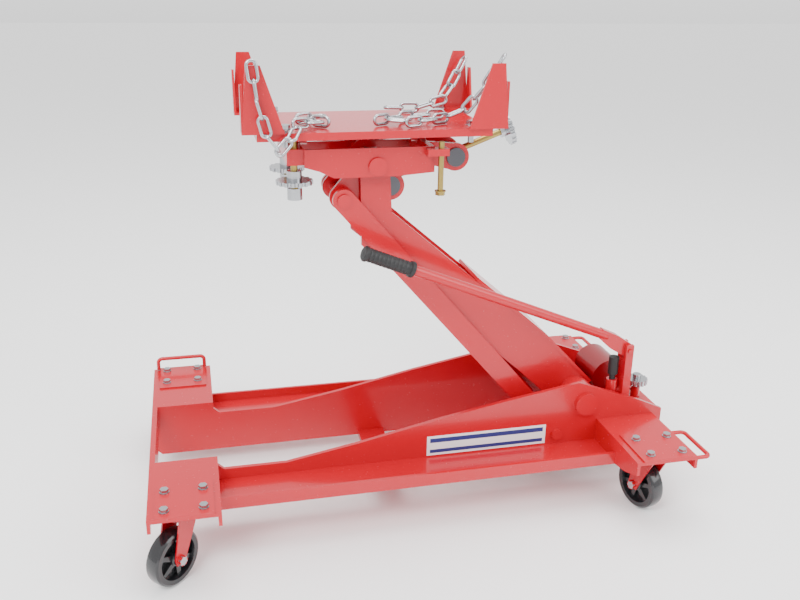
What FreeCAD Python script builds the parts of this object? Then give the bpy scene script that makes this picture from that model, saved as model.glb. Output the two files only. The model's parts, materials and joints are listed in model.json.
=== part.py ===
import FreeCAD, Part
import math
import os
import re
import Sketcher

# Floor transmission jack.  Millimetres.  +X runs to the pump end, +Y to the left of that, +Z up.
# Stations are counted along the frame from the front edge of the front caster plates;
# every sub-part is then moved back by origin_x, so that the origin is under the middle of the jack.

SIZES = {
    "frame_length": 985, "half_width": 291, "origin_x": 504.4,
    "plate_level": 141, "plate_thick": 6, "front_plate": 120, "rear_plate": 122,
    "web_gap": 108, "web_thick": 8, "web_bottom": 33, "web_low": 117, "hump_start": 245,
    "hump_x": 820, "hump_level": 224, "tail_x": 1004, "tail_level": 150,
    "tray_width": 89, "tray_level": 90, "tray_thick": 6, "lip_height": 24,
    "pivot_x": 836, "pivot_z": 178, "pivot_r": 15, "run_fit": 0.06, "side_gap": 4,
    "arm_reach": 415, "arm_rise": 480, "arm_half": 50, "arm_plate": 8, "hub_r": 33,
    "link_dx": 57, "link_dz": 61, "link_half": 62, "link_plate": 8, "link_r": 20, "link_pin_r": 9,
    "crank_dx": 20.2, "crank_dz": 67, "crank_pin_r": 8, "crank_half": 30, "slot_play": 2.4,
    "ram_r": 14, "cylinder_r": 24, "cylinder_x": 896,
    "head_half": 38, "head_plate": 8, "head_pin_r": 12, "block_dx": 30, "block_dz": 43, "block_r": 18,
    "tilt_half": 75, "tilt_plate": 6, "tilt_top": 32, "carrier_dx": 152, "carrier_dz": 3,
    "carrier_r": 17, "screw_r": 6, "screw_out": 122, "knob_r": 30,
    "roll_level": 42, "roll_r": 9, "table_front": 206, "table_back": 194, "table_half": 112,
    "table_level": 66, "table_thick": 13, "bracket_height": 108, "bracket_foot": 69, "bracket_thick": 4,
    "roll_screw_x": 141, "roll_screw_y": 57,
    "wheel_r": 50, "wheel_half": 14, "fork_half": 17, "trail": 28, "axle_r": 5, "stem_r": 6,
    "front_caster_x": 55, "rear_caster_x": 925, "caster_y": 243,
    "lever_x": 925, "lever_y": 90, "lever_z": 278, "grip_x": 382, "grip_y": 150, "grip_z": 527,
    "tube_r": 9.5, "grip_r": 12.5, "grip_length": 100,
    "knob_x": 966, "knob_y": 60, "knob_z": 197, "release_r": 22, "chain_wire": 2.7, "chain_pitch": 29,
}

V = FreeCAD.Vector
doc = FreeCAD.newDocument("TransmissionJack")
sheet = doc.addObject("Spreadsheet::Sheet", "Sizes")
for row, (name, value) in enumerate(SIZES.items(), start=1):
    sheet.set("A%d" % row, name)
    sheet.set("B%d" % row, str(value))
    sheet.setAlias("B%d" % row, name)
doc.recompute()


def formula(text):
    """A formula of size names, written the way the expression engine reads it."""
    return re.sub(r"[a-z][a-z0-9_]*", lambda m: "Sizes." + m[0] if m[0] in SIZES else m[0], str(text))


def number(text):
    """The value of a formula of size names."""
    return float(sheet.evalExpression(formula(text)))


def new_body(label):
    body = doc.addObject("PartDesign::Body", label)
    body.Label = label
    return body


def bind(sketch, constraint, text):
    """Add a constraint that follows a formula of sizes."""
    index = sketch.addConstraint(constraint)
    sketch.setExpression("Constraints[%d]" % index, formula(text))


def new_sketch(body, plane, offset):
    """A sketch on one of the body's own origin planes, moved along the plane's normal."""
    sketch = body.newObject("Sketcher::SketchObject", body.Name + "_sketch")
    support = [f for f in body.Origin.OriginFeatures if f.Role == plane + "_Plane"][0]
    sketch.AttachmentSupport = [(support, "")]
    sketch.MapMode = "FlatFace"
    sketch.setExpression("AttachmentOffset.Base.z", formula(offset))
    return sketch


def draw_outline(sketch, corners):
    """A closed run of straight edges through corners given as pairs of formulas."""
    first = sketch.GeometryCount
    spots = [V(number(a), number(b), 0) for a, b in corners]
    count = len(spots)
    for i in range(count):
        sketch.addGeometry(Part.LineSegment(spots[i], spots[(i + 1) % count]))
    for i in range(count):
        edge, following = first + i, first + (i + 1) % count
        sketch.addConstraint(Sketcher.Constraint("Coincident", edge, 2, following, 1))
    for i, (a, b) in enumerate(corners):
        bind(sketch, Sketcher.Constraint("DistanceX", first + i, 1, spots[i].x), a)
        bind(sketch, Sketcher.Constraint("DistanceY", first + i, 1, spots[i].y), b)


def draw_circle(sketch, a, b, radius):
    index = sketch.addGeometry(Part.Circle(V(number(a), number(b), 0), V(0, 0, 1), number(radius)))
    bind(sketch, Sketcher.Constraint("DistanceX", index, 3, number(a)), a)
    bind(sketch, Sketcher.Constraint("DistanceY", index, 3, number(b)), b)
    bind(sketch, Sketcher.Constraint("Radius", index, number(radius)), radius)


def draw(sketch, shapes):
    """Each shape is a list of corners, or a tuple of centre and radius."""
    for shape in shapes:
        if isinstance(shape, list):
            draw_outline(sketch, shape)
        else:
            draw_circle(sketch, *shape)


def pad(body, plane, shapes, start, end):
    """Add material between two stations along the plane's own axis."""
    offset = "-(%s)" % end if plane == "XZ" else start
    sketch = new_sketch(body, plane, offset)
    draw(sketch, shapes)
    feature = body.newObject("PartDesign::Pad", body.Name + "_pad")
    feature.Profile = sketch
    feature.setExpression("Length", formula("(%s) - (%s)" % (end, start)))
    sketch.Visibility = False


def cut(body, plane, shapes, start, end):
    """Take material away between two stations, and make sure that it did."""
    doc.recompute()
    before = body.Shape.Volume
    offset = "-(%s)" % end if plane == "XZ" else start
    sketch = new_sketch(body, plane, offset)
    draw(sketch, shapes)
    feature = body.newObject("PartDesign::Pocket", body.Name + "_cut")
    feature.Profile = sketch
    feature.Reversed = True
    feature.setExpression("Length", formula("(%s) - (%s)" % (end, start)))
    sketch.Visibility = False
    doc.recompute()
    assert body.Shape.Volume < before - 1, body.Label


def turn(body, profile):
    """Revolve a half profile of (radius, station) corners about the body's own Z axis."""
    sketch = new_sketch(body, "XZ", "0")
    draw_outline(sketch, profile)
    feature = body.newObject("PartDesign::Revolution", body.Name + "_turn")
    feature.Profile = sketch
    feature.ReferenceAxis = (sketch, ["V_Axis"])
    feature.Angle = 360


def place(thing, x="0", y="0", z="0", rotation=None):
    """Stand a sub-part at its station."""
    turned = rotation or FreeCAD.Rotation()
    base = V(number("(%s) - origin_x" % x), number(y), number(z))
    thing.Placement = FreeCAD.Placement(base, turned)
    thing.setExpression("Placement.Base.x", formula("(%s) - origin_x" % x))
    thing.setExpression("Placement.Base.y", formula(y))
    thing.setExpression("Placement.Base.z", formula(z))


def fixed_shape(label, shape):
    thing = doc.addObject("Part::Feature", label)
    thing.Label = label
    thing.Shape = Part.makeCompound(shape.Solids)
    return thing


def rectangle(a1, b1, a2, b2):
    return [(a1, b1), (a2, b1), (a2, b2), (a1, b2)]


def across(side, inner, outer):
    """The stations of a plate between two distances from the mid-plane, on one side of it."""
    if side > 0:
        return inner, outer
    return "-(%s)" % outer, "-(%s)" % inner


def side_name(side):
    return "left" if side > 0 else "right"


def bent_bar(points, bend, radius, closed=False):
    """A round bar along straight runs with rounded corners."""
    count = len(points)
    corners = range(count) if closed else range(1, count - 1)
    cuts = {}
    for i in corners:
        here = points[i]
        back = (points[i - 1] - here).normalize()
        ahead = (points[(i + 1) % count] - here).normalize()
        half = back.getAngle(ahead) / 2
        reach = bend / math.tan(half)
        centre = here + (back + ahead).normalize() * (bend / math.sin(half))
        middle = centre + (here - centre).normalize() * bend
        cuts[i] = (here + back * reach, middle, here + ahead * reach)
    edges = []
    for i in range(count if closed else count - 1):
        j = (i + 1) % count
        leave = cuts[i][2] if i in cuts else points[i]
        arrive = cuts[j][0] if j in cuts else points[j]
        if (arrive - leave).Length > 1e-4:
            edges.append(Part.makeLine(leave, arrive))
        if j in cuts:
            edges.append(Part.Arc(*cuts[j]).toShape())
    path = Part.Wire(Part.__sortEdges__(edges))
    first = edges[0]
    start = first.valueAt(first.FirstParameter)
    ring = Part.Wire(Part.makeCircle(radius, start, first.tangentAt(first.FirstParameter)))
    return path.makePipeShell([ring], True, True)


def make_web(side):
    """The humped side plate of the frame."""
    body = new_body("web_" + side_name(side))
    low, high = across(side, "web_gap", "web_gap + web_thick")
    outline = [
        ("0", "plate_level"), ("0", "web_bottom + 12"), ("12", "web_bottom"), ("frame_length - 85", "web_bottom"),
        ("tail_x", "web_bottom + 45"), ("tail_x", "tail_level"), ("tail_x - 50", "tail_level + 23"),
        ("hump_x + 42", "hump_level - 16"), ("hump_x", "hump_level"), ("hump_x - 153", "hump_level - 25"),
        ("hump_x - 282", "web_low + 58"), ("hump_x - 436", "web_low + 25"), ("hump_start", "web_low"),
        ("front_plate + 11", "web_low"), ("front_plate", "web_low + 10"), ("front_plate", "plate_level"),
    ]
    pad(body, "XZ", [outline], low, high)
    holes = [("pivot_x", "pivot_z", "pivot_r"), ("pivot_x - link_dx", "pivot_z - link_dz", "link_pin_r")]
    cut(body, "XZ", holes, low, high)
    place(body)


def make_tray(side):
    """The lipped shelf along the outside of a side plate."""
    body = new_body("tray_" + side_name(side))
    inner = "web_gap + web_thick"
    outer = "web_gap + web_thick + tray_width"
    top = "tray_level + tray_thick"
    profile = [
        (inner, "tray_level"), (outer, "tray_level"), (outer, "tray_level + lip_height"),
        (outer + " - tray_thick", "tray_level + lip_height"), (outer + " - tray_thick", top), (inner, top),
    ]
    if side < 0:
        profile = [("-(%s)" % a, b) for a, b in profile]
    pad(body, "YZ", [profile], "front_plate", "frame_length - rear_plate")
    place(body)


def bolt_spots(end, side):
    """The four bolt centres round a caster."""
    centre_x = "front_caster_x + 5" if end == "front" else "rear_caster_x + 5"
    spots = []
    for dx in (-32, 32):
        for dy in (-29, 29):
            spots.append(("%s + %d" % (centre_x, dx), "%d * (caster_y + %d)" % (side, dy)))
    return spots


def make_caster_plate(end, side):
    """A corner plate with two turned-down edges and a raised pad round its bolts."""
    body = new_body("corner_plate_%s_%s" % (end, side_name(side)))
    if end == "front":
        start, stop = "0", "front_plate"
    else:
        start, stop = "frame_length - rear_plate", "frame_length"
    inner, outer = across(side, "web_gap + web_thick", "half_width")
    sheet_low = "plate_level - plate_thick"
    pad(body, "XY", [rectangle(start, inner, stop, outer)], sheet_low, "plate_level")
    pad_inner, pad_outer = across(side, "half_width - 101", "half_width")
    raised = rectangle(start + " + 13", pad_inner, stop + " - 11", pad_outer)
    pad(body, "XY", [raised], "plate_level", "plate_level + 3")
    edge_low = "plate_level - plate_thick - 18"
    back = rectangle(inner, edge_low, outer, sheet_low)
    pad(body, "YZ", [back], "(%s) - plate_thick" % stop, stop)
    if end == "front":
        pad(body, "YZ", [back], start, "plate_thick")
    else:
        near, far = "%d * (web_gap + web_thick)" % side, "%d * half_width" % side
        apron = [
            (near, "plate_level - 53"), ("%d * (half_width - 106)" % side, "plate_level - 53"),
            ("%d * (half_width - 46)" % side, "plate_level - 43"), (far, "plate_level - 26"),
            (far, sheet_low), (near, sheet_low),
        ]
        pad(body, "YZ", [apron], start, "(%s) + plate_thick" % start)
    holes = [(x, y, "4.2") for x, y in bolt_spots(end, side)]
    cut(body, "XY", holes, sheet_low, "plate_level + 3")
    place(body)


def make_cross_members():
    """Front bar, low bar and rear plate that tie the two side plates together."""
    gap = number("web_gap")
    top = number("plate_level")
    front = Part.makeBox(10, 2 * gap, 50, V(0, -gap, top - 50))
    low = Part.makeBox(55, 2 * gap, 10, V(420, -gap, number("web_bottom")))
    back = number("tail_x")
    rear_low = number("web_bottom") + 47
    rear_high = number("tail_level") - 4
    rear = Part.makeBox(14, 2 * gap, rear_high - rear_low, V(back - 14, -gap, rear_low))
    level = number("pivot_z - crank_dz")
    rear = rear.cut(Part.makeCylinder(number("cylinder_r"), 20, V(back - 17, 0, level), V(1, 0, 0)))
    place(fixed_shape("cross_members", Part.makeCompound([front, low, rear])))


def make_lift_loops():
    """Three round-bar loops: one upright on the front left corner, two lying flat at the back."""
    edge = number("half_width")
    top = number("plate_level")
    back = number("frame_length")
    upright = [V(10, edge - 5, top + 3), V(10, edge - 5, top + 27), V(108, edge - 5, top + 27),
               V(108, edge - 5, top + 3)]
    loops = [bent_bar(upright, 9, 4)]
    for side in (1, -1):
        flat = [V(back, side * (edge - 99), top - 5), V(back + 27, side * (edge - 99), top - 5),
                V(back + 27, side * (edge - 5), top - 5), V(back, side * (edge - 5), top - 5)]
        loops.append(bent_bar(flat, 9, 4))
    place(fixed_shape("lift_loops", Part.makeCompound(loops)))


def bolt_shape(x, y, low, high, radius):
    """A bolt standing on end: a shank and a hexagonal head with a washer face."""
    shank = Part.makeCylinder(radius, high - low, V(x, y, low))
    washer = Part.makeCylinder(radius * 2, 1.5, V(x, y, high))
    corners = [V(x + radius * 1.8 * math.cos(k * math.pi / 3), y + radius * 1.8 * math.sin(k * math.pi / 3),
                 high + 1.5) for k in range(7)]
    head = Part.Face(Part.makePolygon(corners)).extrude(V(0, 0, radius * 1.3))
    return shank.fuse([washer, head]).removeSplitter()


def make_caster_bolts():
    """Sixteen bolts that hold the caster top plates."""
    low = number("plate_level - plate_thick - 10")
    high = number("plate_level + 3")
    bolts = []
    for end in ("front", "rear"):
        for side in (1, -1):
            for x, y in bolt_spots(end, side):
                bolts.append(bolt_shape(number(x), number(y), low, high, 4.2))
    place(fixed_shape("caster_bolts", Part.makeCompound(bolts)))


def make_caster_tops():
    """Top plate, bearing ring and king pin of each caster."""
    high = number("plate_level - plate_thick")
    tops = []
    for end in ("front", "rear"):
        centre_x = number(end + "_caster_x")
        for side in (1, -1):
            centre_y = side * number("caster_y")
            plate = Part.makeBox(92, 82, 4, V(centre_x - 41, centre_y - 41, high - 4))
            ring = Part.makeCylinder(26, 5.5, V(centre_x, centre_y, high - 9.5))
            stem = Part.makeCylinder(number("stem_r"), 20, V(centre_x, centre_y, high - 20))
            top = plate.fuse([ring, stem])
            for x, y in bolt_spots(end, side):
                top = top.cut(Part.makeCylinder(4.2, 4, V(number(x), number(y), high - 4)))
            tops.append(top)
    place(fixed_shape("caster_tops", Part.makeCompound(tops)))


def make_caster(end, side, heading):
    """One swivelling fork and its wheel, trailing along a heading in degrees."""
    label = "%s_%s" % (end, side_name(side))
    crown_high = number("plate_level - plate_thick") - 10
    half = number("fork_half")
    trail = number("trail")
    level = number("wheel_r")
    crown = Part.makeCylinder(25, 6, V(0, 0, crown_high - 6))
    crown = crown.fuse(Part.makeBox(44, 2 * half + 6, 6, V(-20, -half - 3, crown_high - 6)))
    corners = [V(-20, 0, crown_high), V(24, 0, crown_high), V(trail + 12, 0, level + 4),
               V(trail + 9, 0, level - 8), V(trail - 9, 0, level - 8), V(trail - 14, 0, level + 4)]
    ear = Part.Face(Part.makePolygon(corners + corners[:1])).extrude(V(0, 3, 0))
    fork = crown.fuse([ear.translated(V(0, half, 0)), ear.translated(V(0, -half - 3, 0))])
    fork = fork.cut(Part.makeCylinder(number("stem_r + run_fit"), 60, V(0, 0, crown_high - 30)))
    axle = Part.makeCylinder(number("axle_r"), 2 * half + 18, V(trail, -half - 9, level), V(0, 1, 0))
    nuts = []
    for start in (-half - 9, half + 3):
        ring = [V(trail + 9 * math.cos(k * math.pi / 3), start, level + 9 * math.sin(k * math.pi / 3))
                for k in range(7)]
        nuts.append(Part.Face(Part.makePolygon(ring)).extrude(V(0, 6, 0)))
    fork = fork.fuse([axle] + nuts).removeSplitter()
    turned = FreeCAD.Rotation(V(0, 0, 1), heading)
    thing = fixed_shape("fork_" + label, fork)
    place(thing, end + "_caster_x", "%d * caster_y" % side, "0", turned)

    wheel = new_body("wheel_" + label)
    bore = "axle_r + run_fit"
    rim = [
        (bore, "-wheel_half - 1.5"), ("14", "-wheel_half - 1.5"), ("16", "-5"), ("wheel_r - 16", "-5"),
        ("wheel_r - 12", "-wheel_half"), ("wheel_r - 4", "-wheel_half"), ("wheel_r", "-wheel_half + 5"),
        ("wheel_r", "wheel_half - 5"), ("wheel_r - 4", "wheel_half"), ("wheel_r - 12", "wheel_half"),
        ("wheel_r - 16", "5"), ("16", "5"), ("14", "wheel_half + 1.5"), (bore, "wheel_half + 1.5"),
    ]
    turn(wheel, rim)
    heading_x = math.cos(math.radians(heading))
    heading_y = math.sin(math.radians(heading))
    flat = FreeCAD.Rotation(V(0, 0, 1), heading).multiply(FreeCAD.Rotation(V(1, 0, 0), 90))
    place(wheel, "%s_caster_x + trail * %.6f" % (end, heading_x),
          "%d * caster_y + trail * %.6f" % (side, heading_y), "wheel_r", flat)


def make_pivots():
    """The shaft the arm turns on, and the two stub pins the links turn on."""
    shaft = new_body("arm_pivot_shaft")
    reach = "web_gap + web_thick"
    pad(shaft, "XZ", [("0", "0", "pivot_r")], "-(%s)" % reach, reach)
    pad(shaft, "XZ", [("0", "0", "pivot_r + 8")], reach, reach + " + 8")
    pad(shaft, "XZ", [("0", "0", "pivot_r + 8")], "-(%s) - 8" % reach, "-(%s)" % reach)
    place(shaft, "pivot_x", "0", "pivot_z")
    radius = number("link_pin_r")
    inner = number("link_half")
    spacer = number("link_half + link_plate") + 1
    wall = number("web_gap")
    outer = number(reach) + 6
    x = number("pivot_x - link_dx")
    z = number("pivot_z - link_dz")
    pins = []
    for side in (1, -1):
        along = V(0, side, 0)
        pin = Part.makeCylinder(radius, outer - inner, V(x, side * inner, z), along)
        collar = Part.makeCylinder(radius + 5, wall - spacer, V(x, side * spacer, z), along)
        boss = Part.makeCylinder(radius + 2, 6, V(x, side * (outer - 6), z), along)
        pins.append(pin.fuse([collar, boss]))
    place(fixed_shape("link_stub_pins", Part.makeCompound(pins)))


def make_pump():
    """Pump block with its reservoir and posts, and the ram's cylinder."""
    level = "pivot_z - crank_dz"
    cylinder = new_body("ram_cylinder")
    pad(cylinder, "YZ", [("0", level, "cylinder_r")], "cylinder_x", "tail_x")
    cut(cylinder, "YZ", [("0", level, "ram_r + run_fit")], "cylinder_x", "tail_x - 6")
    place(cylinder)

    block = new_body("pump_body")
    body_face = rectangle("-70", "web_bottom + 30", "70", "tail_level")
    pad(block, "YZ", [body_face], "cylinder_x", "tail_x - 24")
    cut(block, "YZ", [("0", level, "cylinder_r")], "cylinder_x", "tail_x - 24")
    pad(block, "XY", [rectangle("898", "-36", "948", "52")], "tail_level", "tail_level + 40")
    pad(block, "XZ", [("923", "tail_level + 40", "37")], "-36", "52")
    place(block)

    posts = new_body("pump_posts")
    fulcrum = rectangle("lever_x - 8", "-lever_y - 17", "lever_x + 8", "-lever_y + 17")
    wing = rectangle("lever_x - 12", "-lever_y - 17", "knob_x + 10", "-56")
    pad(posts, "XY", [wing], "tail_level", "tail_level + 10")
    pad(posts, "XY", [fulcrum], "tail_level + 10", "lever_z + 12")
    slot = rectangle("lever_x - 9", "-lever_y - 9", "lever_x + 9", "-lever_y + 9")
    cut(posts, "XY", [slot], "lever_z - 22", "lever_z + 13")
    cut(posts, "XZ", [("lever_x", "lever_z", "5")], "-lever_y - 18", "-lever_y + 18")
    pad(posts, "XY", [("lever_x - 24", "-lever_y", "11")], "tail_level + 10", "tail_level + 64")
    pad(posts, "XY", [rectangle("lever_x - 24", "-lever_y - 8", "lever_x", "-lever_y + 8")],
        "tail_level + 10", "tail_level + 40")
    cut(posts, "XY", [("lever_x - 24", "-lever_y", "6 + run_fit")], "tail_level + 16", "tail_level + 65")
    pad(posts, "XY", [("knob_x", "-knob_y - 12", "9")], "tail_level + 10", "knob_z - 14")
    cut(posts, "XY", [("knob_x", "-knob_y - 12", "5 + run_fit")], "knob_z - 34", "knob_z - 13")
    place(posts)


def make_label_panel():
    """A plain panel on the right-hand side plate."""
    body = new_body("side_panel")
    low, high = "-(web_gap + web_thick) - 0.8", "-(web_gap + web_thick)"
    pad(body, "XZ", [rectangle("513", "tray_level + 9", "755", "tray_level + 50")], low, high)
    place(body)


HEAD_X = "pivot_x - arm_reach"
HEAD_Z = "pivot_z + arm_rise"


def from_head(dx, dz):
    """A corner counted from the head pin."""
    return "%s + (%s)" % (HEAD_X, dx), "%s + (%s)" % (HEAD_Z, dz)


def from_pivot(dx, dz):
    """A corner counted from the arm pivot."""
    return "pivot_x + (%s)" % dx, "pivot_z + (%s)" % dz


def make_arm_plate(side):
    """One side of the lifting arm: the upright post, the long box and the hub at its foot."""
    body = new_body("arm_plate_" + side_name(side))
    low, high = across(side, "arm_half", "arm_half + arm_plate")
    outline = [
        from_head(-26, 0), from_head(-24, -147), from_pivot(-128, 62), from_pivot(-26, -34),
        from_pivot(28, -30), from_pivot(31, 16), from_pivot(-74, 126), from_head(31, -88), from_head(26, 0),
    ]
    pad(body, "XZ", [outline], low, high)
    pad(body, "XZ", [(HEAD_X, HEAD_Z, "26")], low, high)
    hub_low, hub_high = across(side, "arm_half", "web_gap - side_gap")
    pad(body, "XZ", [("pivot_x", "pivot_z", "hub_r")], hub_low, hub_high)
    cut(body, "XZ", [("pivot_x", "pivot_z", "pivot_r + run_fit")], hub_low, hub_high)
    cut(body, "XZ", [(HEAD_X, HEAD_Z, "head_pin_r + run_fit")], low, high)
    place(body)


def make_arm_top():
    """The cover plate along the upper edge of the arm."""
    body = new_body("arm_top_plate")
    outline = [
        from_pivot(-220, 252), from_pivot(-74, 126), from_pivot(31, 16),
        from_pivot(36, 20), from_pivot(-70, 131), from_pivot(-216, 257),
    ]
    pad(body, "XZ", [outline], "-arm_half - arm_plate - 2", "arm_half + arm_plate + 2")
    place(body)


def make_crank():
    """The sleeve inside the arm's foot, with the crank that the ram pushes."""
    sleeve_r = number("pivot_r") + 7
    half = number("arm_half")
    pivot = V(number("pivot_x"), 0, number("pivot_z"))
    pin = pivot + V(-number("crank_dx"), 0, -number("crank_dz"))
    along = V(0, 1, 0)
    crank = Part.makeCylinder(sleeve_r, 2 * half, pivot - along * half, along)
    inner = number("crank_half")
    drop = (pin - pivot).normalize()
    sideways = V(drop.z, 0, -drop.x)
    for start in (-inner - 8, inner):
        corners = [pivot + sideways * 22, pin + sideways * 14, pin - sideways * 14, pivot - sideways * 22]
        cheek = Part.Face(Part.makePolygon(corners + corners[:1])).extrude(along * 8)
        end = Part.makeCylinder(14, 8, pin, along)
        crank = crank.fuse([cheek.translated(along * start), end.translated(along * start)])
    crank = crank.fuse(Part.makeCylinder(number("crank_pin_r"), 2 * inner + 2, pin - along * (inner + 1), along))
    bore = Part.makeCylinder(number("pivot_r + run_fit"), 2 * half + 2, pivot - along * (half + 1), along)
    place(fixed_shape("arm_crank", crank.cut(bore).removeSplitter()))


def make_link(side):
    """The flat bar that keeps the head level."""
    body = new_body("link_" + side_name(side))
    low, high = across(side, "link_half", "link_half + link_plate")
    ends = [("pivot_x - link_dx", "pivot_z - link_dz"), (HEAD_X + " - link_dx", HEAD_Z + " - link_dz")]
    run = math.hypot(number("arm_reach"), number("arm_rise"))
    aside_x = "link_r * %.6f" % (number("arm_rise") / run)
    aside_z = "link_r * %.6f" % (number("arm_reach") / run)
    bar = []
    for sign, (x, z) in ((1, ends[0]), (1, ends[1]), (-1, ends[1]), (-1, ends[0])):
        bar.append(("%s + %d * %s" % (x, sign, aside_x), "%s + %d * %s" % (z, sign, aside_z)))
    pad(body, "XZ", [bar], low, high)
    for x, z in ends:
        pad(body, "XZ", [(x, z, "link_r")], low, high)
    bores = [(ends[0][0], ends[0][1], "link_pin_r + run_fit"), (ends[1][0], ends[1][1], "link_pin_r + 0.6")]
    cut(body, "XZ", bores, low, high)
    place(body)


def make_ram():
    """The ram's rod and its slotted crosshead."""
    body = new_body("ram_rod")
    x = "pivot_x - crank_dx"
    z = "pivot_z - crank_dz"
    pad(body, "XZ", [rectangle(x + " - 18", z + " - 21", x + " + 18", z + " + 26")], "-25", "25")
    play = "crank_pin_r + slot_play"
    slot = rectangle("%s - (%s)" % (x, play), z + " - crank_pin_r - 4.5", "%s + %s" % (x, play),
                     z + " + crank_pin_r + 9")
    cut(body, "XZ", [slot], "-25", "25")
    pad(body, "YZ", [("0", z, "ram_r")], x + " + 17", "930")
    place(body)


def make_head_plate(side):
    """One plate of the level head bracket."""
    body = new_body("head_plate_" + side_name(side))
    low, high = across(side, "head_half", "head_half + head_plate")
    outline = [
        from_head("-link_dx - 15", "-link_dz + 16"), from_head("-19", "18"), from_head("20", "17"),
        from_head("block_dx + 23", "-block_dz + 12"), from_head("block_dx + 6", "-block_dz - 25"),
        from_head("-link_dx + 6", "-link_dz - 21"),
    ]
    pad(body, "XZ", [outline], low, high)
    lugs = [from_head("-link_dx", "-link_dz") + ("22",), from_head("0", "0") + ("26",),
            from_head("block_dx", "-block_dz") + ("26",)]
    for lug in lugs:
        pad(body, "XZ", [lug], low, high)
    bores = [lugs[0][:2] + ("link_pin_r",), lugs[1][:2] + ("head_pin_r",), lugs[2][:2] + ("block_r + run_fit",)]
    cut(body, "XZ", bores, low, high)
    place(body)


def make_head_pins():
    """The long pin at the top of the arm and the pin at the top of the links."""
    along = V(0, 1, 0)
    x, z = number(HEAD_X), number(HEAD_Z)
    long_half = number("tilt_half + tilt_plate") + 5
    long_pin = Part.makeCylinder(number("head_pin_r"), 2 * long_half, V(x, -long_half, z), along)
    for start in (-long_half, long_half - 3):
        long_pin = long_pin.fuse(Part.makeCylinder(16, 3, V(x, start, z), along))
    short_half = number("link_half + link_plate") + 4
    lower = V(x - number("link_dx"), -short_half, z - number("link_dz"))
    short_pin = Part.makeCylinder(number("link_pin_r"), 2 * short_half, lower, along)
    for start in (0, 2 * short_half - 3):
        short_pin = short_pin.fuse(Part.makeCylinder(12, 3, lower + along * start, along))
    place(fixed_shape("head_pins", Part.makeCompound([long_pin, short_pin])))


def screw_line():
    """Where the tilt screw starts, and the way it points."""
    block = V(number(HEAD_X + " + block_dx"), 0, number(HEAD_Z + " - block_dz"))
    carrier = V(number(HEAD_X + " + carrier_dx"), 0, number(HEAD_Z + " + carrier_dz"))
    return block, carrier, (carrier - block).normalize()


def make_screw_blocks():
    """The two turning blocks that the tilt screw passes through."""
    block, carrier, way = screw_line()
    along = V(0, 1, 0)
    slide_play = 1.2
    for label, centre, radius, half, hole in (
            ("screw_block", block, number("block_r"), number("head_half + head_plate") + 2, slide_play),
            ("screw_carrier", carrier, number("carrier_r"), 42, number("run_fit"))):
        shape = Part.makeCylinder(radius, 2 * half, centre - along * half, along)
        bore = Part.makeCylinder(number("screw_r") + hole, 60, centre - way * 30, way)
        place(fixed_shape(label, shape.cut(bore)))


def scalloped_disc(radius, thick, hub_r, hub_length, bore):
    """A hand wheel with a scalloped rim, standing on its own Z axis."""
    disc = Part.makeCylinder(radius, thick)
    notches = []
    for k in range(16):
        angle = k * math.pi / 8
        notches.append(Part.makeCylinder(radius * 0.11, thick + 2,
                                         V(radius * math.cos(angle), radius * math.sin(angle), -1)))
    disc = disc.cut(Part.makeCompound(notches))
    disc = disc.fuse(Part.makeCylinder(hub_r, hub_length, V(0, 0, thick)))
    if bore > 0:
        disc = disc.cut(Part.makeCylinder(bore, thick + hub_length))
    return disc


def make_tilt_screw():
    """The tilt screw and the hand wheel on its end."""
    block, carrier, way = screw_line()
    length = (carrier - block).Length + number("screw_out")
    turned = FreeCAD.Rotation(V(0, 0, 1), way)
    screw = Part.makeCylinder(number("screw_r"), length + 22, V(0, 0, -22))
    thing = fixed_shape("tilt_screw", screw)
    knob = scalloped_disc(number("knob_r"), 9, 11, 12, number("screw_r")).mirror(V(0, 0, 0), V(0, 0, 1))
    wheel = fixed_shape("tilt_hand_wheel", knob.translated(V(0, 0, length)))
    for part in (thing, wheel):
        place(part, HEAD_X + " + block_dx", "0", HEAD_Z + " - block_dz", turned)


def make_tilt_plate(side):
    """One side plate of the tilting frame under the table."""
    body = new_body("tilt_plate_" + side_name(side))
    low, high = across(side, "tilt_half", "tilt_half + tilt_plate")
    outline = [
        from_head(-126, "tilt_top"), from_head(-126, 2), from_head(-100, -6), from_head(-76, -18),
        from_head(34, -18), from_head(101, -13), from_head(101, "tilt_top"),
    ]
    pad(body, "XZ", [outline], low, high)
    cut(body, "XZ", [(HEAD_X, HEAD_Z, "head_pin_r + run_fit")], low, high)
    if side < 0:
        lug = rectangle(HEAD_X + " + 84", "-tilt_half - 25", HEAD_X + " + 122", "-tilt_half")
        pad(body, "XY", [lug], HEAD_Z + " + 18", HEAD_Z + " + 30")
        cut(body, "XY", [(HEAD_X + " + 110", "-tilt_half - 15", "5")], HEAD_Z + " + 18", HEAD_Z + " + 30")
    place(body)


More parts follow.
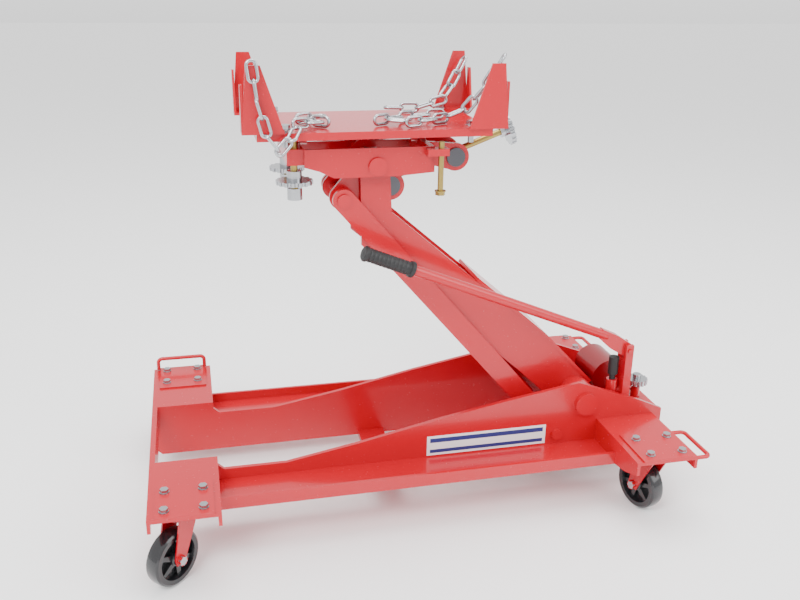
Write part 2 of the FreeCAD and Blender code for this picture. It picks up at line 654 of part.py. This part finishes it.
def make_tilt_blocks():
    """The front block and the rear clevis of the tilting frame, and the shaft between them."""
    front = new_body("tilt_front_block")
    face = rectangle("-tilt_half", HEAD_Z + " + 5", "tilt_half", HEAD_Z + " + tilt_top")
    pad(front, "YZ", [face], HEAD_X + " - 155", HEAD_X + " - 126")
    rise = rectangle("-11", HEAD_Z + " + 20", "11", HEAD_Z + " + roll_level - 2")
    pad(front, "YZ", [rise], HEAD_X + " - 138", HEAD_X + " - 128")
    pad(front, "YZ", [("0", HEAD_Z + " + roll_level - 2", "11")], HEAD_X + " - 138", HEAD_X + " - 128")
    screws = [(HEAD_X + " - roll_screw_x", "roll_screw_y", "screw_r + run_fit"),
              (HEAD_X + " - roll_screw_x", "-roll_screw_y", "screw_r + run_fit")]
    cut(front, "XY", screws, HEAD_Z + " + 4", HEAD_Z + " + tilt_top + 1")
    cut(front, "YZ", [("0", HEAD_Z + " + roll_level - 2", "roll_r")], HEAD_X + " - 142", HEAD_X + " - 127")
    place(front)

    rear = new_body("tilt_clevis")
    face = rectangle("-tilt_half", HEAD_Z + " - 8", "tilt_half", HEAD_Z + " + tilt_top")
    pad(rear, "YZ", [face], HEAD_X + " + 91", HEAD_X + " + 101")
    rise = rectangle("-11", HEAD_Z + " + 20", "11", HEAD_Z + " + roll_level - 2")
    pad(rear, "YZ", [rise], HEAD_X + " + 91", HEAD_X + " + 101")
    pad(rear, "YZ", [("0", HEAD_Z + " + roll_level - 2", "11")], HEAD_X + " + 91", HEAD_X + " + 101")
    centre = from_head("carrier_dx", "carrier_dz")
    for side in (1, -1):
        low, high = across(side, "28", "38")
        cheek = [from_head(100, -8), from_head("carrier_dx - 8", "carrier_dz - 23"),
                 from_head("carrier_dx + 4", "carrier_dz + 24"), from_head(100, "tilt_top")]
        pad(rear, "XZ", [cheek], low, high)
        pad(rear, "XZ", [centre + ("25",)], low, high)
        cut(rear, "XZ", [centre + ("carrier_r + run_fit",)], low, high)
    cut(rear, "YZ", [("0", HEAD_Z + " + roll_level - 2", "roll_r")], HEAD_X + " + 90", HEAD_X + " + 102")
    place(rear)

    shaft = new_body("roll_shaft")
    pad(shaft, "YZ", [("0", HEAD_Z + " + roll_level - 2", "roll_r")], HEAD_X + " - 142", HEAD_X + " + 104")
    place(shaft)


def make_level_bolt():
    """The long adjusting bolt that hangs at the side of the tilting frame, head down."""
    x = number(HEAD_X) + 110
    y = -number("tilt_half") - 15
    bolt = bolt_shape(x, -y, -number(HEAD_Z) - 42, -number(HEAD_Z) + 44, 5)
    bolt.rotate(V(0, 0, 0), V(1, 0, 0), 180)
    place(fixed_shape("level_bolt", bolt))


def make_table():
    """The saddle table, with the two lugs that turn on the roll shaft."""
    body = new_body("table_plate")
    low = HEAD_Z + " + table_level - table_thick"
    high = HEAD_Z + " + table_level"
    top = rectangle(HEAD_X + " - table_front", "-table_half", HEAD_X + " + table_back", "table_half")
    pad(body, "XY", [top], low, high)
    axis = HEAD_Z + " + roll_level - 2"
    for start, stop in ((-124, -112), (77, 88)):
        span = ("%s + (%d)" % (HEAD_X, start), "%s + (%d)" % (HEAD_X, stop))
        pad(body, "YZ", [rectangle("-13", axis, "13", low)], *span)
        pad(body, "YZ", [("0", axis, "13")], *span)
        cut(body, "YZ", [("0", axis, "roll_r + run_fit")], *span)
    holes = [(x, y, "5") for x, y in bracket_bolt_spots()]
    cut(body, "XY", holes, low, high)
    place(body)


def bracket_bolt_spots():
    spots = []
    for x in (HEAD_X + " - table_front + 47", HEAD_X + " + table_back - 35"):
        for side in (1, -1):
            spots.append((x, "%d * (table_half - 14)" % side))
    return spots


def make_bracket(end, side):
    """One tapered corner bracket: side plate, end flange and foot bent from one sheet."""
    body = new_body("bracket_%s_%s" % (end, side_name(side)))
    low = HEAD_Z + " + table_level"
    way = -1 if end == "front" else 1
    edge = HEAD_X + (" - table_front - 24" if end == "front" else " + table_back + 25")

    def along(distance):
        return "%s - (%d * (%s))" % (edge, way, distance)

    def between(first, second):
        return (along(first), along(second)) if way < 0 else (along(second), along(first))

    inner, outer = across(side, "table_half + 3", "table_half + 3 + bracket_thick")
    plate = [(along(0), low), (along("bracket_foot"), low), (along(33), low + " + bracket_height"),
             (along(10), low + " + bracket_height")]
    pad(body, "XZ", [plate], inner, outer)
    foot_inner, foot_outer = across(side, "table_half - 28", "table_half + 3")
    start, stop = between(0, "bracket_foot")
    pad(body, "XY", [rectangle(start, foot_inner, stop, foot_outer)], low, low + " + bracket_thick")
    near = "%d * (table_half + 3)" % side
    far = "%d * (table_half - 28)" % side
    high = "%d * (table_half - 8)" % side
    flange = [(near, low), (far, low), (high, low + " + bracket_height - 30"),
              (near, low + " + bracket_height - 30")]
    start, stop = between(0, "bracket_thick")
    pad(body, "YZ", [flange], start, stop)
    spot = [s for s in bracket_bolt_spots() if (number(s[0]) > number(HEAD_X)) == (way > 0)
            and number(s[1]) * side > 0][0]
    cut(body, "XY", [spot + ("5",)], low, low + " + bracket_thick")
    place(body)


def make_bracket_bolts():
    """Four bolts that clamp the corner brackets to the table."""
    low = number(HEAD_Z + " + table_level - table_thick") - 12
    high = number(HEAD_Z + " + table_level + bracket_thick")
    bolts = [bolt_shape(number(x), number(y), low, high, 5) for x, y in bracket_bolt_spots()]
    place(fixed_shape("bracket_bolts", Part.makeCompound(bolts)))


def chain_link(centre, way, rolled):
    """One welded link, long axis along the chain."""
    wire = number("chain_wire")
    length = number("chain_pitch") + 3.5 * wire
    half_long, half_wide = length / 2 - wire, 7.5
    across_way = way.cross(V(0, 0, 1))
    if across_way.Length < 0.2:
        across_way = way.cross(V(0, 1, 0))
    across_way.normalize()
    if rolled:
        across_way = way.cross(across_way).normalize()
    corners = [centre + way * half_long + across_way * half_wide, centre - way * half_long + across_way * half_wide,
               centre - way * half_long - across_way * half_wide, centre + way * half_long - across_way * half_wide]
    return bent_bar(corners, 7.3, wire, closed=True)


def make_chains():
    """Three tie-down chains: two hang from brackets and lie heaped on the table."""
    x = number(HEAD_X)
    z = number(HEAD_Z + " + table_level")
    y = number("table_half")
    routes = [
        [V(x - 210, -y - 16, z + 100), V(x - 204, -y - 20, z + 50), V(x - 190, -y - 21, z - 2),
         V(x - 172, -y - 20, z - 26), V(x - 150, -y - 13, z - 4), V(x - 135, -y + 12, z + 14),
         V(x - 90, -y + 40, z + 11), V(x - 130, -y + 75, z + 11), V(x - 80, -y + 105, z + 11)],
        [V(x + 206, -y + 17, z + 106), V(x + 186, -y + 21, z + 70), V(x + 158, -y + 42, z + 28),
         V(x + 118, -y + 48, z + 11), V(x + 60, -y + 22, z + 11), V(x + 10, -y + 50, z + 11),
         V(x + 60, -y + 80, z + 11), V(x + 130, -y + 95, z + 11)],
        [V(x + 196, y - 18, z + 84), V(x + 178, y - 22, z + 52), V(x + 148, y - 44, z + 22),
         V(x + 104, y - 50, z + 11), V(x + 40, y - 40, z + 11)],
    ]
    links = []
    pitch = number("chain_pitch")
    for route in routes:
        left = 0.0
        rolled = False
        for start, stop in zip(route, route[1:]):
            way = (stop - start).normalize()
            run = (stop - start).Length
            spot = left
            while spot < run:
                links.append(chain_link(start + way * spot, way, rolled))
                rolled = not rolled
                spot += pitch
            left = spot - run
    place(fixed_shape("chains", Part.makeCompound(links)))


def make_roll_screw(side):
    """One of the two screws that roll the table, with its hand wheel and drive nut."""
    rod = Part.makeCylinder(number("screw_r"), 104, V(0, 0, -54))
    wheel = scalloped_disc(32, 7, 13, 16, 0).translated(V(0, 0, -31))
    nut = Part.makeCylinder(13, 20, V(0, 0, -58))
    screw = rod.fuse([wheel, nut]).removeSplitter()
    thing = fixed_shape("roll_screw_" + side_name(side), screw)
    place(thing, HEAD_X + " - roll_screw_x", "%d * roll_screw_y" % side, HEAD_Z + " + table_level - 65")


def make_lever():
    """The pump lever: fork end on its hinge pin, straight tube and rubber grip."""
    hinge = V(number("lever_x"), -number("lever_y"), number("lever_z"))
    tip = V(number("grip_x"), -number("grip_y"), number("grip_z"))
    along = V(0, 1, 0)
    root = hinge + V(-46, 0, 31)
    way = (tip - root).normalize()
    reach = (tip - root).Length
    offsets = [(8, -10), (8, 10), (-25, 32), (-57, 47), (-63, 28), (-40, 7), (-13, -10)]
    corners = [hinge + V(dx, 0, dz) for dx, dz in offsets]
    yoke = Part.Face(Part.makePolygon(corners + corners[:1])).extrude(along * 16).translated(along * -8)
    pin = Part.makeCylinder(5 - number("run_fit"), 40, hinge - along * 20, along)
    tube = Part.makeCylinder(number("tube_r"), reach - 12, root, way)
    lever = yoke.fuse([pin, tube]).removeSplitter()
    grip_length = number("grip_length")
    radius = number("grip_r")
    start = tip - way * grip_length
    grip = Part.makeCylinder(radius, grip_length, start, way)
    collar = Part.makeCylinder(radius + 2.5, 8, start, way)
    end = Part.makeCylinder(radius + 2, 10, tip - way * 10, way)
    grip = grip.fuse([collar, end]).cut(Part.makeCylinder(number("tube_r"), grip_length - 12, start, way))
    place(fixed_shape("lever_tube", lever))
    place(fixed_shape("lever_grip", grip.removeSplitter()))


def make_plunger():
    """The pump plunger under the lever, with its rubber boot."""
    rod = Part.makeCylinder(6, 54, V(0, 0, 26))
    boot = Part.makeCylinder(10, 36, V(0, 0, 76))
    thing = fixed_shape("pump_plunger", rod.fuse(boot).removeSplitter())
    place(thing, "lever_x - 24", "-lever_y", "tail_level")


def make_release_knob():
    """The release valve's hand wheel."""
    knob = scalloped_disc(number("release_r"), 11, 8, 9, 0)
    knob = knob.fuse(Part.makeCylinder(5, 26, V(0, 0, -26))).removeSplitter()
    place(fixed_shape("release_knob", knob), "knob_x", "-knob_y - 12", "knob_z - 7")


def make_everything():
    for side in (1, -1):
        make_web(side)
        make_tray(side)
        make_arm_plate(side)
        make_link(side)
        make_head_plate(side)
        make_tilt_plate(side)
        make_roll_screw(side)
        for end in ("front", "rear"):
            make_caster_plate(end, side)
            make_bracket(end, side)
    for end, side, heading in (("front", -1, 225), ("front", 1, 45), ("rear", -1, 105), ("rear", 1, 255)):
        make_caster(end, side, heading)
    make_cross_members()
    make_lift_loops()
    make_caster_bolts()
    make_caster_tops()
    make_pivots()
    make_pump()
    make_label_panel()
    make_arm_top()
    make_crank()
    make_ram()
    make_head_pins()
    make_screw_blocks()
    make_tilt_screw()
    make_tilt_blocks()
    make_level_bolt()
    make_table()
    make_bracket_bolts()
    make_chains()
    make_lever()
    make_plunger()
    make_release_knob()


def write_parts():
    """Check every object, then write one STEP file for each sub-part."""
    doc.recompute()
    for thing in doc.Objects:
        assert not set(thing.State) & {"Invalid", "Error"}, thing.Name
    parts = [t for t in doc.Objects if t.TypeId in ("PartDesign::Body", "Part::Feature")]
    for part in parts:
        assert not part.Shape.isNull() and part.Shape.isValid(), part.Label
    os.makedirs("parts", exist_ok=True)
    for part in parts:
        part.Shape.exportStep("parts/%s.step" % part.Label)
    print(len(parts), "sub-parts written")


make_everything()
write_parts()
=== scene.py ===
import json
import math

import bmesh
import bpy
from mathutils import Matrix, Vector


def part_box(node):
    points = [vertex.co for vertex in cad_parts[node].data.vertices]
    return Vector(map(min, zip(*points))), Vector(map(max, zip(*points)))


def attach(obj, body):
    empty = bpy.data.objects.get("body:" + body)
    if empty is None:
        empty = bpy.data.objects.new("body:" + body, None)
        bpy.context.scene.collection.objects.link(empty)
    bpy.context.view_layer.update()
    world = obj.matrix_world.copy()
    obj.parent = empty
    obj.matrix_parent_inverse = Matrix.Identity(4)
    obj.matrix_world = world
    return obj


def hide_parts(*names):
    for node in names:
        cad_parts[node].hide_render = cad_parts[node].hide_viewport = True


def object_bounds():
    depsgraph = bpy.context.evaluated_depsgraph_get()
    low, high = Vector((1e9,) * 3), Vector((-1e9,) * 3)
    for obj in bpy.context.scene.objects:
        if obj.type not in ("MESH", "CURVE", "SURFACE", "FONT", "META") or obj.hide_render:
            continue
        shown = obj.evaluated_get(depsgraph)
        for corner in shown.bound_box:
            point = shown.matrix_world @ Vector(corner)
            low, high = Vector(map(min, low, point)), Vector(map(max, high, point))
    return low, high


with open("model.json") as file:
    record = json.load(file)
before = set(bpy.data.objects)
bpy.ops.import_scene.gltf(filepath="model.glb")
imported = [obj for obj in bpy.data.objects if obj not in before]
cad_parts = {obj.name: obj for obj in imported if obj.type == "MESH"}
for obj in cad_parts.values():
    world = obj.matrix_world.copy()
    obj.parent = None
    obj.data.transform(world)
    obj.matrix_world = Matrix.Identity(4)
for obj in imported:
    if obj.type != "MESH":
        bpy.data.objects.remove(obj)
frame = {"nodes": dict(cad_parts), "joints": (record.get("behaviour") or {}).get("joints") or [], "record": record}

# A new Blender file may hold a cube, a lamp and a camera of its own.
for spare in ("Cube", "Light", "Camera"):
    if spare in bpy.data.objects:
        bpy.data.objects.remove(bpy.data.objects[spare])
bpy.context.view_layer.update()
CAD_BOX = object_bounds()
BODIES = frame["record"]["behaviour"]["bodies"]
BODY_OF = {node: body for body, nodes in BODIES.items() for node in nodes}

CAMERA_PLACE = (-0.39388, -1.54479, 0.97963)
CAMERA_YAW = math.radians(-13.57)
CAMERA_PITCH_DOWN = math.radians(20.717)
CAMERA_ROLL = math.radians(0.911)
SENSOR_MM = 36.0
LENS_MM = 39.68

SMOOTH_ANGLE = math.radians(32)
BEVEL_ANGLE = math.radians(35)
EDGE_BEVEL = 0.0008
FLOOR_SIZE = 30
FLOOR_DROP = 0.0005
SKY_STRENGTH = 1.5
LAMP_TARGET = Vector((0, 0, 0.4))
LAMPS = (
    ("key", (-1.6, -2.0, 2.6), 1.4, 90),
    ("fill", (2.2, -1.6, 1.8), 1.8, 40),
    ("top", (0.2, 0.4, 3.0), 2.2, 80),
)
SKY_DARK = (0.25, 0.25, 0.26, 1)
SKY_PALE = (1, 1, 1, 1)

# The colour sockets of a mix node, which share their names with its other sockets.
MIX_FIRST = 6
MIX_SECOND = 7
MIX_RESULT = 2
SPECULAR = 0.4
COAT_ROUGHNESS = 0.04
SLOW_NOISE = 0.2
FINE_NOISE = 6
RELIEF_DEPTH = 0.001

# Half profiles of a caster wheel, as (radius, distance from the middle plane).
HALF_TYRE = ((0.0355, 0.0090), (0.0375, 0.0135), (0.0455, 0.0138), (0.0488, 0.0110), (0.0499, 0.0060))
HALF_HUB = ((0.0055, 0.0150), (0.0115, 0.0150), (0.0138, 0.0128))
HALF_WEB = ((0.0130, 0.0022), (0.0360, 0.0022))
# Distance from the axle, half width and half thickness of a spoke, at the hub and at the rim.
SPOKE_ENDS = ((0.0125, 0.0052, 0.0105), (0.0362, 0.0034, 0.0085))
SPOKES = 6
NUT_SEAT = 0.0212
NUT_BORE = 0.0008
NUT_RADIUS = 0.0088
NUT_CROWN = 0.0070
NUT_CORNER = 0.0046
NUT_HEIGHT = 0.0050

# The grip's axis runs from LEVER_ROOT, measured from the lever's hinge, to a point inside the grip's box.
LEVER_ROOT = (-0.046, 0, 0.031)
GRIP_INSET = (0.0052, 0.0145, 0.0135)
GRIP_LENGTH = 0.1
GRIP_RIBS = 10
FIRST_RIB = 0.012
RIB_PITCH = 0.0078

# Each band's piece name, and its first and last height as shares of the panel, from the lower edge up.
# The band named upper is the one nearer to the lower edge.
BANDS = (("upper", 0.12, 0.3), ("lower", 0.66, 0.88))
BAND_INSET = 0.006
BAND_PROUD = 0.0002
BAND_SUNK = 0.0004

# A roll screw is chrome beyond ROD_REACH from its axis, and on its axis up to KNOB_HEIGHT from its foot.
ROD_REACH = 0.007
KNOB_HEIGHT = 0.05
ON_AXIS = 0.001


def make_camera():
    """The camera stands at the jack's side, towards the saddle end, and looks down on it."""
    data = bpy.data.cameras.new("view")
    data.sensor_width = SENSOR_MM
    data.lens = LENS_MM
    camera = bpy.data.objects.new("view", data)
    bpy.context.scene.collection.objects.link(camera)
    yaw = Matrix.Rotation(CAMERA_YAW, 4, "Z")
    pitch = Matrix.Rotation(math.pi / 2 - CAMERA_PITCH_DOWN, 4, "X")
    roll = Matrix.Rotation(CAMERA_ROLL, 4, "Z")
    camera.matrix_world = Matrix.Translation(Vector(CAMERA_PLACE)) @ (yaw @ pitch @ roll)
    bpy.context.scene.camera = camera


make_camera()


def make_material(name, color, metallic=0.0, rough=0.35, coat=0.0, wear=0.06, bump=0.02, scale=30.0):
    """A finish with slow colour change, uneven roughness and a fine surface texture."""
    material = bpy.data.materials.new(name)
    material.use_nodes = True
    nodes = material.node_tree.nodes
    links = material.node_tree.links
    shader = nodes["Principled BSDF"]
    shader.inputs["Metallic"].default_value = metallic
    shader.inputs["Specular IOR Level"].default_value = SPECULAR
    if coat:
        shader.inputs["Coat Weight"].default_value = coat
        shader.inputs["Coat Roughness"].default_value = COAT_ROUGHNESS
    place = nodes.new("ShaderNodeTexCoord")
    slow = nodes.new("ShaderNodeTexNoise")
    slow.inputs["Scale"].default_value = scale * SLOW_NOISE
    slow.inputs["Detail"].default_value = 4.0
    links.new(place.outputs["Object"], slow.inputs["Vector"])
    tint = nodes.new("ShaderNodeMix")
    tint.data_type = "RGBA"
    dark = [c * (1 - wear) for c in color]
    light = [min(1.0, c * (1 + wear)) for c in color]
    tint.inputs[MIX_FIRST].default_value = (*dark, 1)
    tint.inputs[MIX_SECOND].default_value = (*light, 1)
    links.new(slow.outputs["Fac"], tint.inputs[0])
    links.new(tint.outputs[MIX_RESULT], shader.inputs["Base Color"])
    fine = nodes.new("ShaderNodeTexNoise")
    fine.inputs["Scale"].default_value = scale * FINE_NOISE
    fine.inputs["Detail"].default_value = 3.0
    links.new(place.outputs["Object"], fine.inputs["Vector"])
    spread = nodes.new("ShaderNodeMapRange")
    spread.inputs["To Min"].default_value = max(0.02, rough - 0.05)
    spread.inputs["To Max"].default_value = rough + 0.07
    links.new(fine.outputs["Fac"], spread.inputs["Value"])
    links.new(spread.outputs["Result"], shader.inputs["Roughness"])
    relief = nodes.new("ShaderNodeBump")
    relief.inputs["Strength"].default_value = bump
    relief.inputs["Distance"].default_value = RELIEF_DEPTH
    links.new(fine.outputs["Fac"], relief.inputs["Height"])
    links.new(relief.outputs["Normal"], shader.inputs["Normal"])
    return material


RED = make_material("red paint", (0.46, 0.0008, 0.011), rough=0.24, coat=0.25, wear=0.05, bump=0.05)
# A darker copy of the red paint: painted shade in its colour, for the pump body that sits between the side plates.
SHADED_RED_PAINT = make_material("red paint with painted shade", (0.2, 0.0006, 0.005), rough=0.3, coat=0.25)
CHROME = make_material("chrome plate", (0.42, 0.43, 0.45), metallic=1.0, rough=0.22, bump=0.05)
ZINC = make_material("zinc plate", (0.4, 0.41, 0.43), metallic=1.0, rough=0.32, wear=0.12, bump=0.1)
YELLOW = make_material("yellow zinc", (0.36, 0.26, 0.08), metallic=1.0, rough=0.3, wear=0.2, bump=0.1)
DARK = make_material("dark turned steel", (0.09, 0.09, 0.1), metallic=0.8, rough=0.35, wear=0.2)
STEEL = make_material("bright steel", (0.34, 0.34, 0.36), metallic=1.0, rough=0.25)
RUBBER = make_material("black rubber", (0.012, 0.012, 0.013), rough=0.5, wear=0.3, bump=0.3)
WHEEL = make_material("black moulded wheel", (0.012, 0.012, 0.014), rough=0.22, coat=0.4, wear=0.3)
PANEL = make_material("pale panel", (0.78, 0.79, 0.82), rough=0.35, wear=0.03)
PANEL_BLUE = make_material("blue panel field", (0.02, 0.035, 0.16), rough=0.35, wear=0.05)

SLOTS = {"red": RED, "chrome": CHROME, "yellow_zinc": YELLOW, "dark_steel": DARK, "steel_pin": STEEL,
         "black_rubber": RUBBER, "black_wheel": WHEEL, "panel": PANEL}
SLOT_OF = {part["node"]: part["material_slot"] for part in frame["record"]["subparts"]}


def dress(obj, material):
    """Give an object one material only."""
    obj.data.materials.clear()
    obj.data.materials.append(material)


def bevel(obj, width):
    """Soft edges, kept inside the solid."""
    step = obj.modifiers.new("edges", "BEVEL")
    step.width = width
    step.segments = 2
    step.limit_method = "ANGLE"
    step.angle_limit = BEVEL_ANGLE
    step.harden_normals = True


for name, obj in frame["nodes"].items():
    dress(obj, SLOTS[SLOT_OF[name]])
dress(frame["nodes"]["caster_tops"], RED)


def add_mesh(name, bm, material, body, smooth=True):
    """Turn a built mesh into a piece that rides on a body."""
    mesh = bpy.data.meshes.new(name)
    bm.to_mesh(mesh)
    bm.free()
    if smooth:
        for face in mesh.polygons:
            face.use_smooth = True
        mesh.set_sharp_from_angle(angle=SMOOTH_ANGLE)
    obj = bpy.data.objects.new(name, mesh)
    bpy.context.scene.collection.objects.link(obj)
    dress(obj, material)
    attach(obj, body)
    return obj


def spin(bm, profile, centre, axis, steps=48):
    """A closed half profile of (radius, station) corners turned about an axis."""
    axis = Vector(axis).normalized()
    side = axis.orthogonal().normalized()
    other = axis.cross(side)
    rings = []
    for radius, station in profile:
        ring = []
        for k in range(steps):
            angle = 2 * math.pi * k / steps
            spot = centre + axis * station + (side * math.cos(angle) + other * math.sin(angle)) * radius
            ring.append(bm.verts.new(spot))
        rings.append(ring)
    count = len(rings)
    for i in range(count):
        first, second = rings[i], rings[(i + 1) % count]
        for k in range(steps):
            j = (k + 1) % steps
            bm.faces.new((first[k], first[j], second[j], second[k]))
    bmesh.ops.recalc_face_normals(bm, faces=bm.faces)


def mirrored(half):
    """A closed profile from a half profile and its mirror image across the middle plane."""
    return [(radius, -station) for radius, station in half] + list(reversed(half))


def make_floor():
    """A pale floor that runs to the back."""
    bpy.ops.mesh.primitive_plane_add(size=FLOOR_SIZE, location=(0, 0, CAD_BOX[0].z - FLOOR_DROP))
    floor = bpy.context.object
    floor.name = "studio_floor"
    dress(floor, make_material("pale floor", (0.97, 0.97, 0.97), rough=0.7, wear=0.005, bump=0.0))


def make_sky():
    """White light from all round, darker from below the horizon."""
    world = bpy.data.worlds.new("studio")
    bpy.context.scene.world = world
    world.use_nodes = True
    tree = world.node_tree
    back = tree.nodes["Background"]
    back.inputs["Strength"].default_value = SKY_STRENGTH
    place = tree.nodes.new("ShaderNodeTexCoord")
    split = tree.nodes.new("ShaderNodeSeparateXYZ")
    ramp = tree.nodes.new("ShaderNodeValToRGB")
    ramp.color_ramp.elements[0].position = 0.3
    ramp.color_ramp.elements[0].color = SKY_DARK
    ramp.color_ramp.elements[1].position = 0.5
    ramp.color_ramp.elements[1].color = SKY_PALE
    height = tree.nodes.new("ShaderNodeMapRange")
    height.inputs["From Min"].default_value = -1.0
    tree.links.new(place.outputs["Generated"], split.inputs["Vector"])
    tree.links.new(split.outputs["Z"], height.inputs["Value"])
    tree.links.new(height.outputs["Result"], ramp.inputs["Fac"])
    tree.links.new(ramp.outputs["Color"], back.inputs["Color"])


def make_lamps():
    """Soft lamps round the object."""
    for name, spot, size, power in LAMPS:
        lamp = bpy.data.lights.new(name, "AREA")
        lamp.size = size
        lamp.energy = power
        obj = bpy.data.objects.new(name, lamp)
        bpy.context.scene.collection.objects.link(obj)
        obj.location = spot
        obj.rotation_euler = (LAMP_TARGET - Vector(spot)).to_track_quat("-Z", "Y").to_euler()


make_floor()
make_sky()
make_lamps()


def joint_where(key, value):
    """The one joint whose key has this value."""
    return [joint for joint in frame["joints"] if joint[key] == value][0]


def make_spoke(bm, centre, axis, way):
    """A tapered spoke from the hub to the rim, in the direction way."""
    width = axis.cross(way)
    corners = []
    for reach, half, thick in SPOKE_ENDS:
        for a, b in ((-1, -1), (1, -1), (1, 1), (-1, 1)):
            corners.append(bm.verts.new(centre + way * reach + width * a * half + axis * b * thick))
    for i in range(4):
        j = (i + 1) % 4
        bm.faces.new((corners[i], corners[j], corners[4 + j], corners[4 + i]))
    bm.faces.new(corners[:4])
    bm.faces.new(corners[4:])


def make_axle_nuts(end, side, centre, axis):
    """A zinc nut on each end of a caster's axle."""
    body = BODY_OF["fork_%s_%s" % (end, side)]
    for way in (-1, 1):
        bm = bmesh.new()
        seat = NUT_SEAT * way
        corner = seat + NUT_CORNER * way
        top = seat + NUT_HEIGHT * way
        profile = [(NUT_BORE, seat), (NUT_RADIUS, seat), (NUT_RADIUS, corner), (NUT_CROWN, top),
                   (NUT_BORE, top)]
        spin(bm, profile, centre, axis, steps=6)
        nut = add_mesh("axle_nut_%s_%s_%d" % (end, side, way), bm, ZINC, body, smooth=False)


def make_wheel(end, side):
    """A moulded caster wheel: tyre, hub, thin web and spokes."""
    name = "wheel_%s_%s" % (end, side)
    joint = joint_where("child", BODY_OF[name])
    axis = Vector(joint["axis"]).normalized()
    centre = Vector(joint["pos_m"])
    bm = bmesh.new()
    spin(bm, mirrored(HALF_TYRE), centre, axis)
    spin(bm, mirrored(HALF_HUB), centre, axis, steps=32)
    spin(bm, mirrored(HALF_WEB), centre, axis)
    across = axis.orthogonal().normalized()
    for k in range(SPOKES):
        way = Matrix.Rotation(k * 2 * math.pi / SPOKES, 3, axis) @ across
        make_spoke(bm, centre, axis, way)
    bmesh.ops.recalc_face_normals(bm, faces=bm.faces)
    wheel = add_mesh("moulded_" + name, bm, WHEEL, BODY_OF[name])
    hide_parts(name)
    make_axle_nuts(end, side, centre, axis)


def make_grip():
    """A ribbed rubber grip with a flange at each end, along the lever."""
    low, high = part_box("lever_grip")
    root = Vector(joint_where("name", "pump_lever")["pos_m"]) + Vector(LEVER_ROOT)
    tip = Vector((low.x + GRIP_INSET[0], low.y + GRIP_INSET[1], high.z - GRIP_INSET[2]))
    way = (tip - root).normalized()
    start = tip - way * GRIP_LENGTH
    profile = [(0.0096, 0.0005), (0.0145, 0.0005), (0.0148, 0.0040), (0.0140, 0.0072), (0.0118, 0.0085)]
    for k in range(GRIP_RIBS):
        at = FIRST_RIB + k * RIB_PITCH
        profile += [(0.0116, at), (0.0124, at + 0.0012), (0.0124, at + 0.0050), (0.0116, at + 0.0062)]
    profile += [(0.0120, 0.0900), (0.0138, 0.0925), (0.0138, 0.0965), (0.0110, 0.0990), (0.0010, 0.0995)]
    profile += [(0.0010, 0.0890), (0.0096, 0.0885)]
    bm = bmesh.new()
    spin(bm, profile, start, way, steps=40)
    grip = add_mesh("ribbed_grip", bm, RUBBER, "lever")
    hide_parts("lever_grip")


def make_panel():
    """A plain panel: pale field with two plain blue bands and no lettering."""
    low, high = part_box("side_panel")
    height = high.z - low.z
    for name, first, last in BANDS:
        bm = bmesh.new()
        spots = []
        for x in (low.x + BAND_INSET, high.x - BAND_INSET):
            for y in (low.y - BAND_PROUD, low.y + BAND_SUNK):
                for share in (first, last):
                    spots.append(bm.verts.new((x, y, low.z + height * share)))
        for quad in ((0, 1, 3, 2), (4, 5, 7, 6), (0, 1, 5, 4), (2, 3, 7, 6), (0, 2, 6, 4), (1, 3, 7, 5)):
            bm.faces.new([spots[i] for i in quad])
        bmesh.ops.recalc_face_normals(bm, faces=bm.faces)
        band = add_mesh("panel_band_" + name, bm, PANEL_BLUE, "chassis", smooth=False)


def make_knob_faces():
    """Chrome on the roll screws' hand wheels and drive nuts, which stand out past the yellow rod."""
    for side in ("left", "right"):
        node = frame["nodes"]["roll_screw_" + side]
        low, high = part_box("roll_screw_" + side)
        middle = (low + high) / 2
        node.data.materials.append(CHROME)
        for face in node.data.polygons:
            reach = (face.center.xy - middle.xy).length
            flat_end = reach < ON_AXIS and face.center.z < low.z + KNOB_HEIGHT
            if reach > ROD_REACH or flat_end:
                face.material_index = 1


for end in ("front", "rear"):
    for side in ("left", "right"):
        make_wheel(end, side)
make_grip()
make_panel()
make_knob_faces()

PAIRED = ("web", "tray", "arm_plate", "link", "tilt_plate", "head_plate", "corner_plate_front",
          "corner_plate_rear", "bracket_front", "bracket_rear")
SINGLE = ("arm_top_plate", "table_plate", "tilt_front_block", "tilt_clevis", "pump_body", "pump_posts")
for name in SINGLE + tuple(stem + side for stem in PAIRED for side in ("_left", "_right")):
    bevel(frame["nodes"][name], EDGE_BEVEL)
# The pump body gets the red paint with shade painted into its colour.
dress(frame["nodes"]["pump_body"], SHADED_RED_PAINT)
